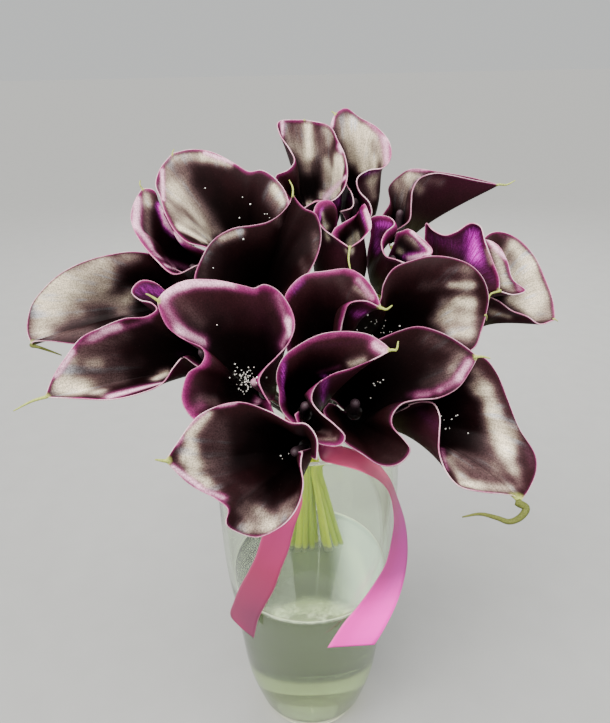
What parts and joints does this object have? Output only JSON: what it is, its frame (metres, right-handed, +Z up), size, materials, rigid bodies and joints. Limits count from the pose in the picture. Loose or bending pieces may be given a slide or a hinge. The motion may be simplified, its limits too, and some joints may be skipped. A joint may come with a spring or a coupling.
{
  "type": "calla lily bouquet in a glass vase",
  "caption": "Bouquet of dark purple calla lilies with rolled, funnel-shaped spathes and green tips, tied with a pink satin ribbon and standing in a rounded clear glass vase of water",
  "frame": {"origin": "the centre of the vase's foot, on the surface that it stands on", "axes": "+Z up, the front of the bouquet faces -Y, +X to the viewer's right"},
  "size_m": [0.3273, 0.2198, 0.4317],
  "materials": {
    "spathe": "silky, nearly black purple petal, paler pink at the rim and green at the tip",
    "spadix": "mauve, covered in tiny buds and pollen",
    "stem": "smooth, waxy yellow-green",
    "vase_glass": "clear, polished, thick at the base",
    "water": "clear water",
    "satin": "glossy pink satin"
  },
  "bodies": {
    "root": {"spathe_01": "spathe", "spathe_02": "spathe", "spathe_03": "spathe", "spathe_04": "spathe", "spathe_05": "spathe", "spathe_06": "spathe", "spathe_07": "spathe", "spathe_08": "spathe", "spathe_09": "spathe", "spathe_10": "spathe", "spathe_11": "spathe", "spathe_12": "spathe", "spathe_13": "spathe", "spathe_14": "spathe", "spathe_15": "spathe", "spathe_16": "spathe", "spathe_17": "spathe", "spathe_18": "spathe", "spathe_19": "spathe", "spadix_01": "spadix", "spadix_02": "spadix", "spadix_03": "spadix", "spadix_04": "spadix", "spadix_05": "spadix", "spadix_06": "spadix", "spadix_07": "spadix", "spadix_08": "spadix", "spadix_09": "spadix", "spadix_10": "spadix", "spadix_11": "spadix", "spadix_12": "spadix", "spadix_13": "spadix", "spadix_14": "spadix", "spadix_15": "spadix", "spadix_16": "spadix", "spadix_17": "spadix", "spadix_18": "spadix", "spadix_19": "spadix", "stems": "stem", "vase": "vase_glass", "water": "water", "ribbon_band": "satin", "ribbon_tail_right": "satin", "ribbon_tail_left": "satin"}
  },
  "joints": []
}
